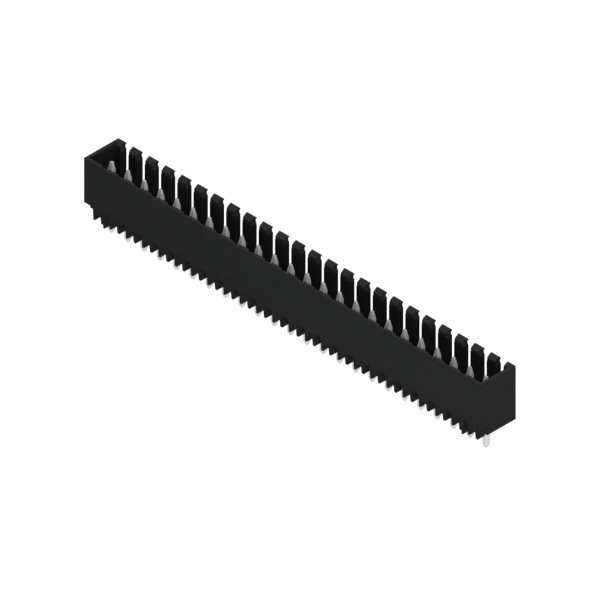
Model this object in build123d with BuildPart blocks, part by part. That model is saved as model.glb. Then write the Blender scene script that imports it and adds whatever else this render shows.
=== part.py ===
from build123d import *
import math
import os

os.makedirs("parts", exist_ok=True)

# All sizes are in millimetres.
# X runs along the pin row, +Y points to the slotted wall, +Z points up.
# The origin is the middle of the pin row, in the plane where the feet stand on the board.

# Pin row
pole_count = 24
pitch = 3.81
pin_side = 1.0
pin_edge_chamfer = 0.06
pin_rim_drop = 1.24          # from the rim down to the pin's upper tip
pin_top_taper = 1.7          # length of the coined point at the top
pin_top_flat = 0.36          # width left at the upper tip
pin_board_reach = 2.74       # from the board seat down to the pin's lower tip
pin_bottom_taper = 0.9
pin_bottom_flat = 0.4
pin_tip_rounding = 0.12      # round the flat end of both tips
pin_shoulder_rounding = 2.5  # where the upper point runs into the square shaft

# Housing outline
rim_height = 12.91           # above the board seat
end_allowance = 2.67         # from the last pin's axis to the end face
front_reach = 3.82           # from the pin axis to the plain wall's outer face
rear_reach = 4.26            # from the pin axis to the slotted wall's outer face
standoff_height = 2.17       # from the board seat to the underside of the base
floor_thickness = 2.79
latch_ledge_height = 3.96    # from the board seat to the lower edge of the plain wall
latch_ledge_depth = 1.43     # how far the base stands back behind that edge

# Walls
front_wall = 0.62
end_wall = 0.65
rear_wall = 1.25

# Shallow reliefs inside the plain wall, one between each two pins
relief_width = 1.5
relief_depth = 0.32

# Coding slots in the rear wall, one behind each pin
slot_width = 1.56            # at the outer face
slot_flare = 0.1             # widening of each side towards the cavity
slot_depth = 7.0
lead_in = 0.4                # chamfer on the fingers, at the cavity's rim
notch_width = 2.0            # across each slot, just under the rim
notch_waist = 0.95           # from the rim down to where its sides end
notch_ledge = 1.2            # from the rim down to the lip of the ledge below them
hook_length = 0.45           # the corner left above each notch, at the outer face
hook_height = 0.22
hook_waist = 0.5             # from the rim down to where the hook's slanting underside ends

# Feet under the base. The left side of each foot slants, the right side is upright.
long_foot_width = 0.52       # in each gap between pins, at the base
long_foot_tip = 0.42
long_foot_margin = 0.4       # from the rear face to the end of each long foot
pin_foot_width = 0.76        # the short foot in front of each pin, at the base
pin_foot_tip = 0.47
pin_foot_gap = 0.12          # from the short foot to the pin behind it
foot_setback = 0.12          # from the base's front face to the front of the feet
pad_drop = 0.73              # how far the web between two feet hangs below the base
pad_length = 1.2
pocket_height = 0.5
pocket_length = 1.5

# Locating ribs, beside the short feet of the first pin and of the last but one
key_width = 0.33
key_drop = 0.62              # how far a locating rib reaches below the board seat
key_bays = (0, pole_count - 2)

# Sizes that follow from those above
row_span = (pole_count - 1) * pitch
housing_length = row_span + 2 * end_allowance
cavity_floor = standoff_height + floor_thickness
cavity_front = front_wall - front_reach
cavity_rear = rear_reach - rear_wall
base_front = latch_ledge_depth - front_reach
foot_front = base_front + foot_setback
pin_foot_length = -pin_side / 2 - pin_foot_gap - foot_front
foot_side = long_foot_width / 2  # from the middle of the gap, or of the pin, to a foot's upright side
pin_top = rim_height - pin_rim_drop
pin_bottom = -pin_board_reach
pin_positions = [index * pitch - row_span / 2 for index in range(pole_count)]


def pin_section():
    """The square wire with its drawn corners, for the pins and for the holes they fill."""
    with BuildSketch(Plane.XY) as section:
        Rectangle(pin_side, pin_side)
        chamfer(section.vertices(), pin_edge_chamfer)
    return section.sketch


def pin_view():
    """The pin seen square on, with its two points."""
    half = pin_side / 2
    with BuildSketch(Plane.XY) as view:
        with BuildLine():
            FilletPolyline(
                (0, pin_bottom),
                (pin_bottom_flat / 2, pin_bottom),
                (half, pin_bottom + pin_bottom_taper),
                (half, pin_top - pin_top_taper),
                (pin_top_flat / 2, pin_top),
                (0, pin_top),
                radius=[pin_tip_rounding, 0, pin_shoulder_rounding, pin_tip_rounding],
            )
            mirror(about=Plane.YZ)
        make_face()
    return view.sketch


with BuildPart() as housing:
    # The end view, with the latch ledge under the plain wall
    with BuildSketch(Plane.YZ):
        with BuildLine():
            Polyline(
                (-front_reach, rim_height),
                (rear_reach, rim_height),
                (rear_reach, standoff_height),
                (base_front, standoff_height),
                (base_front, latch_ledge_height),
                (-front_reach, latch_ledge_height),
                close=True,
            )
        make_face()
    extrude(amount=housing_length / 2, both=True)

    # The cavity that takes the plug, with the lead-in along its slotted side
    cavity_depth = rim_height - cavity_floor
    cavity_width = cavity_rear - cavity_front
    with BuildSketch(Plane.XY.offset(rim_height)):
        with Locations((0, (cavity_rear + cavity_front) / 2)):
            Rectangle(housing_length - 2 * end_wall, cavity_width)
    extrude(amount=-cavity_depth, mode=Mode.SUBTRACT)
    rim_edges = housing.faces().sort_by(Axis.Z)[-1].inner_wires()[0].edges()
    chamfer(rim_edges.sort_by(Axis.Y)[-1], lead_in)

    # Reliefs inside the plain wall
    with BuildSketch(Plane.XY.offset(rim_height)):
        with Locations((0, cavity_front - relief_depth / 2)):
            with GridLocations(pitch, pitch, pole_count - 1, 1):
                Rectangle(relief_width, relief_depth)
    extrude(amount=-cavity_depth, mode=Mode.SUBTRACT)

    # Coding slots, wider towards the cavity
    slot_side_angle = math.degrees(math.atan2(rear_wall, slot_flare))
    slot_inner_width = slot_width + 2 * slot_flare
    with BuildSketch(Plane.XY.offset(rim_height)):
        with Locations((0, (cavity_rear + rear_reach) / 2)):
            with GridLocations(pitch, pitch, pole_count, 1):
                Trapezoid(slot_inner_width, rear_wall, slot_side_angle)
    extrude(amount=-slot_depth, mode=Mode.SUBTRACT)

    # Notches across the slots, with a hook above and a ledge below at each side
    slot_half = slot_width / 2
    notch_half = notch_width / 2
    with BuildSketch(Plane.XZ.offset(-rear_reach)):
        with Locations((0, rim_height)):
            with GridLocations(pitch, pitch, pole_count, 1):
                Polygon(
                    (-slot_half, -hook_height),
                    (-notch_half, -hook_waist),
                    (-notch_half, -notch_waist),
                    (-slot_half, -notch_ledge),
                    (slot_half, -notch_ledge),
                    (notch_half, -notch_waist),
                    (notch_half, -hook_waist),
                    (slot_half, -hook_height),
                )
    extrude(amount=rear_wall, mode=Mode.SUBTRACT)

    # The notches' upper part, open at the rim between the hooks and the cavity
    mouth_length = rear_wall - hook_length
    with BuildSketch(Plane.XY.offset(rim_height)):
        with Locations((0, cavity_rear + mouth_length / 2)):
            with GridLocations(pitch, pitch, pole_count, 1):
                Rectangle(notch_width, mouth_length)
    extrude(amount=-notch_waist, mode=Mode.SUBTRACT)

    # Pockets under the base, beside each pin
    gap_between_feet = pitch / 2 - long_foot_width
    with BuildSketch(Plane.XY.offset(standoff_height)):
        with Locations((pitch / 4, base_front + pocket_length / 2)):
            with GridLocations(pitch, pitch, pole_count, 1):
                Rectangle(gap_between_feet, pocket_length)
    extrude(amount=pocket_height, mode=Mode.SUBTRACT)

    # Webs that hang down between the feet, on the other side of each pin
    with BuildSketch(Plane.XY.offset(standoff_height)):
        with Locations((-pitch / 4, base_front + pad_length / 2)):
            with GridLocations(pitch, pitch, pole_count, 1):
                Rectangle(gap_between_feet, pad_length)
    extrude(amount=-pad_drop)

    # Feet: a short one in front of each pin and a long one in each gap between pins
    long_foot_length = rear_reach - long_foot_margin - foot_front
    for middle, foot_width, foot_tip, foot_length in (
        (0, pin_foot_width, pin_foot_tip, pin_foot_length),
        (-pitch / 2, long_foot_width, long_foot_tip, long_foot_length),
    ):
        foot_angle = math.degrees(math.atan2(standoff_height, foot_width - foot_tip))
        with BuildSketch(Plane.XZ.offset(-foot_front)):
            with Locations((middle + foot_side - foot_width / 2, standoff_height / 2)):
                with GridLocations(pitch, pitch, pole_count, 1):
                    Trapezoid(foot_width, standoff_height, 90, foot_angle, rotation=180)
        extrude(amount=-foot_length)

    # Locating ribs, from the pockets' ceiling down through the board
    key_top = standoff_height + pocket_height
    with BuildSketch(Plane.XY.offset(key_top)):
        for bay in key_bays:
            with Locations((pin_positions[bay] + foot_side, foot_front)):
                Rectangle(key_width, pin_foot_length, align=(Align.MIN, Align.MIN))
    extrude(amount=-(key_top + key_drop))

    # Square holes through the floor, filled by the pins
    with BuildSketch(Plane.XY.offset(cavity_floor)):
        with Locations(*[(x, 0) for x in pin_positions]):
            add(pin_section())
    extrude(amount=-floor_thickness, mode=Mode.SUBTRACT)

housing.part.label = "housing"
export_step(housing.part, "parts/housing.step")


with BuildPart() as pin:
    with BuildSketch(Plane.XZ):
        add(pin_view())
    extrude(amount=pin_side / 2, both=True)
    with BuildSketch(Plane.YZ):
        add(pin_view())
    extrude(amount=pin_side / 2, both=True, mode=Mode.INTERSECT)
    with BuildSketch(Plane.XY.offset(pin_bottom)):
        add(pin_section())
    extrude(amount=pin_top - pin_bottom, mode=Mode.INTERSECT)

for number, x in enumerate(pin_positions, start=1):
    name = f"pin_{number:02d}"
    with BuildPart() as placed_pin:
        with Locations((x, 0, 0)):
            add(pin.part)
    placed_pin.part.label = name
    export_step(placed_pin.part, f"parts/{name}.step")
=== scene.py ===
import math

import bpy
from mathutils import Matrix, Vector


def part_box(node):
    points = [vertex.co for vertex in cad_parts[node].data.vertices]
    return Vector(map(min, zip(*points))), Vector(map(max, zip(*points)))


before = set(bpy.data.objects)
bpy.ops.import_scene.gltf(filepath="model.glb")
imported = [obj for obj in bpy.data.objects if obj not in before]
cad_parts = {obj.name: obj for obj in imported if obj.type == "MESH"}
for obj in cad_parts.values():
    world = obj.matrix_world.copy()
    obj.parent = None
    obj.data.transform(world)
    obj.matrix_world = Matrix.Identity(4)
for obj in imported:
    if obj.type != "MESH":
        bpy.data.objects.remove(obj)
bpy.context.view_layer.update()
print("frame loaded:", len(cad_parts), "nodes")

mm = 0.001


# Camera, seen from the right-hand end of the plain wall and from above

cameraSetup = {
    "azimuth": 45,           # degrees round from the plain wall, towards the right-hand end
    "elevation": 35,
    "distance": 0.4,
    "clipStart": 1 * mm,
    "frameWidth": 0.099265,  # metres across the picture
    "aimRight": 0.175 * mm,  # the picture's middle, from the part's origin
    "aimUp": 4.35 * mm,
}


def addCamera(setup):
    turn = math.radians(setup["azimuth"])
    tilt = math.radians(setup["elevation"])
    right = Vector((math.cos(turn), math.sin(turn), 0))
    away = Vector((
        math.sin(turn) * math.cos(tilt),
        -math.cos(turn) * math.cos(tilt),
        math.sin(tilt),
    ))
    up = away.cross(right)
    aim = right * setup["aimRight"] + up * setup["aimUp"]
    cameraData = bpy.data.cameras.new("camera")
    cameraData.type = "ORTHO"
    cameraData.ortho_scale = setup["frameWidth"]
    cameraData.clip_start = setup["clipStart"]
    camera = bpy.data.objects.new("camera", cameraData)
    camera.location = aim + away * setup["distance"]
    camera.rotation_euler = (math.pi / 2 - tilt, 0, turn)
    bpy.context.scene.collection.objects.link(camera)
    bpy.context.scene.camera = camera


addCamera(cameraSetup)
bpy.context.scene.view_settings.view_transform = "Standard"
print("camera placed")


# Shader values that can be written in an expression

class Value:
    def __init__(self, tree, out=None):
        self.tree = tree
        self.out = out

    def node(self, kind, settings, values, output=0):
        made = self.tree.nodes.new(kind)
        for name, setting in settings.items():
            setattr(made, name, setting)
        for name, value in values.items():
            if isinstance(value, Value):
                self.tree.links.new(value.out, made.inputs[name])
            else:
                made.inputs[name].default_value = value
        out = made.outputs[output] if made.outputs else None
        return Value(self.tree, out)

    def maths(self, operation, first, second):
        return self.node("ShaderNodeMath", {"operation": operation}, {0: first, 1: second})

    def __add__(self, other):
        return self.maths("ADD", self, other)

    def __radd__(self, other):
        return self.maths("ADD", other, self)

    def __sub__(self, other):
        return self.maths("SUBTRACT", self, other)

    def __rsub__(self, other):
        return self.maths("SUBTRACT", other, self)

    def __mul__(self, other):
        return self.maths("MULTIPLY", self, other)

    def __rmul__(self, other):
        return self.maths("MULTIPLY", other, self)


def newMaterial(name):
    material = bpy.data.materials.new(name)
    material.use_nodes = True
    material.node_tree.nodes.clear()
    return material, Value(material.node_tree)


def noise(shader, coordinates, scale, detail=2.0, roughness=0.5):
    return shader.node(
        "ShaderNodeTexNoise",
        {},
        {"Vector": coordinates, "Scale": scale, "Detail": detail, "Roughness": roughness},
        "Fac",
    )


def objectCoordinates(shader, stretch=(1, 1, 1)):
    coordinates = shader.node("ShaderNodeTexCoord", {}, {}, "Object")
    return shader.node("ShaderNodeMapping", {}, {"Vector": coordinates, "Scale": stretch})


def mixColours(shader, factor, first, second):
    colours = {0: factor, 6: first, 7: second}
    return shader.node("ShaderNodeMix", {"data_type": "RGBA"}, colours, 2)


def smoothStep(shader, value, low, high):
    return shader.node(
        "ShaderNodeMapRange",
        {"interpolation_type": "SMOOTHSTEP"},
        {"Value": value, "From Min": low, "From Max": high},
    )


def finishMaterial(shader, surface):
    shader.node("ShaderNodeOutputMaterial", {}, {"Surface": surface})


def dress(names, material):
    for name in names:
        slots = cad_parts[name].data.materials
        slots.clear()
        slots.append(material)


# Housing: matte black moulded polyamide

housingFinish = {
    "darkColour": (0.0166, 0.0172, 0.0169, 1),
    "lightColour": (0.0211, 0.0217, 0.0214, 1),
    "cloudScale": 260,              # soft unevenness of the moulding, about 4 mm
    "cloudDetail": 3.0,
    "cloudShare": 0.55,             # of the step from the dark colour to the light one
    "fleckScale": 5200,             # glass fibres near the skin
    "fleckDetail": 1.0,
    "fleckFrom": 0.58,              # the noise from which flecks begin, and where they are full
    "fleckTo": 0.74,
    "fleckShare": 0.45,
    "flowStretch": (0.18, 1, 1),    # flecks and flow lie along the row
    "flowScale": 900,
    "grainScale": 9500,             # spark-eroded grain of the mould
    "grainDetail": 3.0,
    "grainRoughness": 0.62,
    "grainHeight": 0.004 * mm,
    "roughness": 0.6,
    "roughnessSpread": 0.14,
    "specular": 0.01,
}


def blackPolyamide(finish):
    material, shader = newMaterial("blackPolyamide")
    place = objectCoordinates(shader)
    along = objectCoordinates(shader, finish["flowStretch"])
    cloud = noise(shader, place, finish["cloudScale"], finish["cloudDetail"])
    fibres = noise(shader, along, finish["fleckScale"], finish["fleckDetail"])
    fleck = smoothStep(shader, fibres, finish["fleckFrom"], finish["fleckTo"])
    flow = noise(shader, along, finish["flowScale"])
    grain = noise(
        shader, place, finish["grainScale"], finish["grainDetail"], finish["grainRoughness"]
    )
    lightness = cloud * finish["cloudShare"] + fleck * finish["fleckShare"]
    colour = mixColours(shader, lightness, finish["darkColour"], finish["lightColour"])
    spread = (cloud + flow - 1.0) * finish["roughnessSpread"]
    normal = shader.node(
        "ShaderNodeBump", {}, {"Height": grain, "Distance": finish["grainHeight"]}
    )
    surface = shader.node(
        "ShaderNodeBsdfPrincipled",
        {},
        {
            "Base Color": colour,
            "Roughness": spread + finish["roughness"],
            "Specular IOR Level": finish["specular"],
            "Normal": normal,
        },
    )
    finishMaterial(shader, surface)
    return material


dress(["housing"], blackPolyamide(housingFinish))
print("housing finished")


# Pins: drawn square wire with tin on it, with a painted highlight at the upper point

pinFinish = {
    "darkColour": (0.637, 0.636, 0.634, 1),
    "lightColour": (0.766, 0.765, 0.763, 1),
    "mottleScale": 1900,
    "mottleDetail": 3.0,
    "mottleShare": 0.7,                      # of the step from the dark colour to the light one
    "drawStretch": (1, 1, 0.03),             # drawing lines run along the wire
    "drawScale": 14000,
    "drawShare": 0.3,
    "drawHeight": 0.0016 * mm,
    "crystalScale": 6500,
    "crystalHeight": 0.0012 * mm,
    "paintedTipHighlight": (0.95, 0.95, 0.945, 1),  # the upper point, painted lighter as a highlight of the light from above
    "tipHighlightFull": 0.17 * mm,                 # down from the upper end
    "tipHighlightGone": 1.17 * mm,
    "tipHighlightLeast": 0.7,                      # how much of that colour shows, and its mottle
    "tipHighlightMottle": 0.4,
    "tailColour": (0.6, 0.6, 0.597, 1),      # the solder tail, coloured darker towards the lower end
    "tailFull": 2.24 * mm,                   # up from the lower end
    "tailGone": 3.74 * mm,
    "tailLeast": 0.6,
    "tailMottle": 0.4,
    "paintedEndShade": (0.05, 0.049, 0.047, 1),    # the sheared ends, bare metal painted near black as shade for their dark reflection
    "endFull": 0.015 * mm,                   # in from either end
    "endGone": 0.03 * mm,
    "roughness": 0.45,
    "roughnessSpread": 0.16,
    "metallic": 0.45,
}


def tinPlate(finish, lowEnd, highEnd):
    material, shader = newMaterial("tinPlate")
    place = objectCoordinates(shader)
    lengthwise = objectCoordinates(shader, finish["drawStretch"])
    drawn = noise(shader, lengthwise, finish["drawScale"])
    mottle = noise(shader, place, finish["mottleScale"], finish["mottleDetail"])
    crystal = noise(shader, place, finish["crystalScale"])
    lightness = mottle * finish["mottleShare"] + drawn * finish["drawShare"]
    shaft = mixColours(shader, lightness, finish["darkColour"], finish["lightColour"])

    height = shader.node("ShaderNodeSeparateXYZ", {}, {"Vector": place}, "Z")
    fromTop = highEnd - height
    fromBottom = height - lowEnd
    # painted highlight: the upper point is lightened to stand in for the light falling on it from
    # above
    tipHighlight = 1.0 - smoothStep(shader, fromTop, finish["tipHighlightFull"], finish["tipHighlightGone"])
    tipHighlight = tipHighlight * (mottle * finish["tipHighlightMottle"] + finish["tipHighlightLeast"])
    tail = 1.0 - smoothStep(shader, fromBottom, finish["tailFull"], finish["tailGone"])
    tail = tail * (mottle * finish["tailMottle"] + finish["tailLeast"])
    # painted shade: the end faces are coloured near black to stand in for the dark reflection
    # they show
    upperEndShade = 1.0 - smoothStep(shader, fromTop, finish["endFull"], finish["endGone"])
    lowerEndShade = 1.0 - smoothStep(shader, fromBottom, finish["endFull"], finish["endGone"])
    colour = mixColours(shader, tipHighlight, shaft, finish["paintedTipHighlight"])
    colour = mixColours(shader, tail, colour, finish["tailColour"])
    colour = mixColours(shader, upperEndShade + lowerEndShade, colour, finish["paintedEndShade"])

    spread = (mottle + drawn - 1.0) * finish["roughnessSpread"]
    lines = shader.node(
        "ShaderNodeBump", {}, {"Height": drawn, "Distance": finish["drawHeight"]}
    )
    normal = shader.node(
        "ShaderNodeBump",
        {},
        {"Height": crystal, "Distance": finish["crystalHeight"], "Normal": lines},
    )
    surface = shader.node(
        "ShaderNodeBsdfPrincipled",
        {},
        {
            "Base Color": colour,
            "Metallic": finish["metallic"],
            "Roughness": spread + finish["roughness"],
            "Normal": normal,
        },
    )
    finishMaterial(shader, surface)
    return material


pinNames = sorted(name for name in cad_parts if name.startswith("pin_"))
pinLow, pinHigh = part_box(pinNames[0])
dress(pinNames, tinPlate(pinFinish, pinLow[2], pinHigh[2]))
print("pins finished:", len(pinNames))


# Floor and lights

studio = {
    "floorHalfSize": 1.5,
    "floorHeight": -40 * mm,              # well below the pins, so that it lights them from under
    "floorColour": (0.4, 0.4, 0.4, 1),
    "floorShade": (0.25, 0.25, 0.25, 1),  # what a shadow can take from the floor's white
    "floorGlow": 0.82,
    "skyColour": (1, 1, 1, 1),
    "skyStrength": 0.2,
    "white": (1, 1, 1, 1),                # what the camera sees round the part
    "whiteStrength": 1.0,
    "lampDistance": 0.7,
}

lamps = {
    "topLamp": {"direction": (0, 0, 1), "width": 0.3, "height": 0.3, "power": 4.65},
    "lowLamp": {"direction": (1, -1, 0.155), "width": 0.7, "height": 0.1, "power": 3.65},
    "rightLamp": {"direction": (1, 0, 1), "width": 0.3, "height": 0.3, "power": 0.9},
    "frontLamp": {"direction": (0, -1, 1), "width": 0.3, "height": 0.3, "power": 0.36},
    "backLamp": {"direction": (-1, 1, 0.05), "width": 0.6, "height": 0.08, "power": 2.2},
}


def backgroundRays(shader):
    camera = shader.node("ShaderNodeLightPath", {}, {}, "Is Camera Ray")
    glossy = shader.node("ShaderNodeLightPath", {}, {}, "Is Glossy Ray")
    through = shader.node("ShaderNodeLightPath", {}, {}, "Is Transmission Ray")
    return shader.maths("MAXIMUM", shader.maths("MAXIMUM", camera, glossy), through)


def addFloor(setup):
    bpy.ops.object.select_all(action="DESELECT")
    bpy.ops.mesh.primitive_plane_add(
        size=2 * setup["floorHalfSize"], location=(0, 0, setup["floorHeight"])
    )
    floor = bpy.context.object
    floor.name = "floor"
    material, shader = newMaterial("paleFloor")
    plain = shader.node("ShaderNodeBsdfDiffuse", {}, {"Color": setup["floorColour"]})
    shaded = shader.node("ShaderNodeBsdfDiffuse", {}, {"Color": setup["floorShade"]})
    glow = shader.node("ShaderNodeEmission", {}, {"Strength": setup["floorGlow"]})
    white = shader.node("ShaderNodeAddShader", {}, {0: shaded, 1: glow})
    rays = backgroundRays(shader)
    surface = shader.node("ShaderNodeMixShader", {}, {0: rays, 1: plain, 2: white})
    finishMaterial(shader, surface)
    floor.data.materials.append(material)


def addSky(setup):
    world = bpy.data.worlds.new("studio")
    world.use_nodes = True
    world.node_tree.nodes.clear()
    shader = Value(world.node_tree)
    soft = shader.node(
        "ShaderNodeBackground",
        {},
        {"Color": setup["skyColour"], "Strength": setup["skyStrength"]},
    )
    white = shader.node(
        "ShaderNodeBackground",
        {},
        {"Color": setup["white"], "Strength": setup["whiteStrength"]},
    )
    rays = backgroundRays(shader)
    surface = shader.node("ShaderNodeMixShader", {}, {0: rays, 1: soft, 2: white})
    shader.node("ShaderNodeOutputWorld", {}, {"Surface": surface})
    bpy.context.scene.world = world


def addLamp(name, setup, distance):
    lampData = bpy.data.lights.new(name, "AREA")
    lampData.shape = "ELLIPSE"
    lampData.size = setup["width"]
    lampData.size_y = setup["height"]
    lampData.energy = setup["power"]
    lamp = bpy.data.objects.new(name, lampData)
    toLamp = Vector(setup["direction"]).normalized()
    lamp.location = toLamp * distance
    lamp.rotation_euler = toLamp.to_track_quat("Z", "Y").to_euler()
    bpy.context.scene.collection.objects.link(lamp)


addFloor(studio)
addSky(studio)
for lampName, lampSetup in lamps.items():
    addLamp(lampName, lampSetup, studio["lampDistance"])
print("floor and lights placed:", len(lamps), "lamps")
